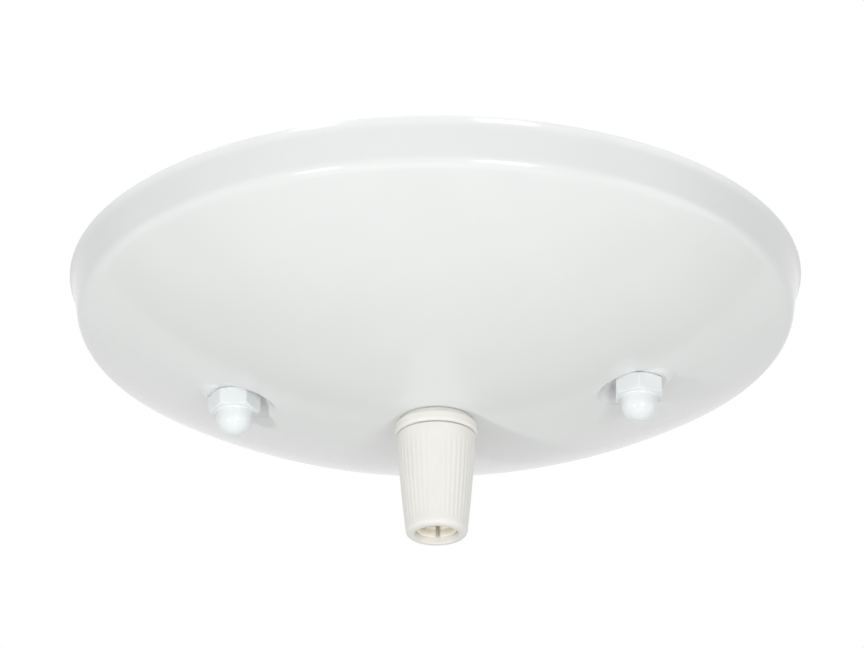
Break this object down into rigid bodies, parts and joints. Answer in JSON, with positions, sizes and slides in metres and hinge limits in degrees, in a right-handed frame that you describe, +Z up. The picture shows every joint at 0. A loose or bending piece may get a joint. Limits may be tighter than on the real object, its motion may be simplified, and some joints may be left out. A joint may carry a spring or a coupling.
{
  "type": "ceiling canopy",
  "caption": "Round domed ceiling canopy with a ribbed cord grip at its centre and cap nuts on studs from a hidden crossbar.",
  "frame": {"origin": "centre of the ceiling plane, between the two box screw slots on the crossbar's upper face, level with the canopy's rim", "axes": "+Z up into the ceiling, X through the two cap nuts; the canopy and its cord grip hang down along -Z"},
  "size_m": [0.127, 0.127, 0.0472],
  "materials": {
    "shell_enamel": "gloss white enamel",
    "nut_enamel": "gloss white enamel",
    "grip_nylon": "satin moulded",
    "jaw_nylon": "satin moulded",
    "zinc_plate": "zinc plated",
    "brass": "plain",
    "ground_green": "green coated"
  },
  "bodies": {
    "root": {"canopy_shell": "shell_enamel", "crossbar": "zinc_plate", "stud_left": "zinc_plate", "stud_right": "zinc_plate", "stud_nut_left": "zinc_plate", "stud_nut_right": "zinc_plate", "ground_screw": "ground_green", "ground_washer": "brass", "grip_body": "grip_nylon", "grip_lock_washer": "zinc_plate", "grip_lock_nut": "zinc_plate"},
    "nut_left": {"cap_nut_left": "nut_enamel"},
    "nut_right": {"cap_nut_right": "nut_enamel"},
    "jaw": {"grip_jaw": "jaw_nylon"},
    "cap": {"grip_cap": "grip_nylon"}
  },
  "joints": [
    {"name": "cap_nut_left_turn", "type": "hinge", "parent": "root", "child": "nut_left", "pos_m": [-0.03492, 0, -0.01972], "axis": [0, 0, -1], "range_deg": [0, 360]},
    {"name": "cap_nut_right_turn", "type": "hinge", "parent": "root", "child": "nut_right", "pos_m": [0.03492, 0, -0.01972], "axis": [0, 0, -1], "range_deg": [0, 360]},
    {"name": "grip_jaw_drop", "type": "slide", "parent": "root", "child": "jaw", "axis": [0, 0, -1], "range_m": [0, 0.003]},
    {"name": "grip_cap_turn", "type": "hinge", "parent": "jaw", "child": "cap", "pos_m": [0, 0, -0.02885], "axis": [0, 0, -1], "range_deg": [0, 720]}
  ],
  "couplings": [
    {"joint": "grip_cap_turn", "follows": "grip_jaw_drop", "rad_per_m": 4188.8}
  ]
}
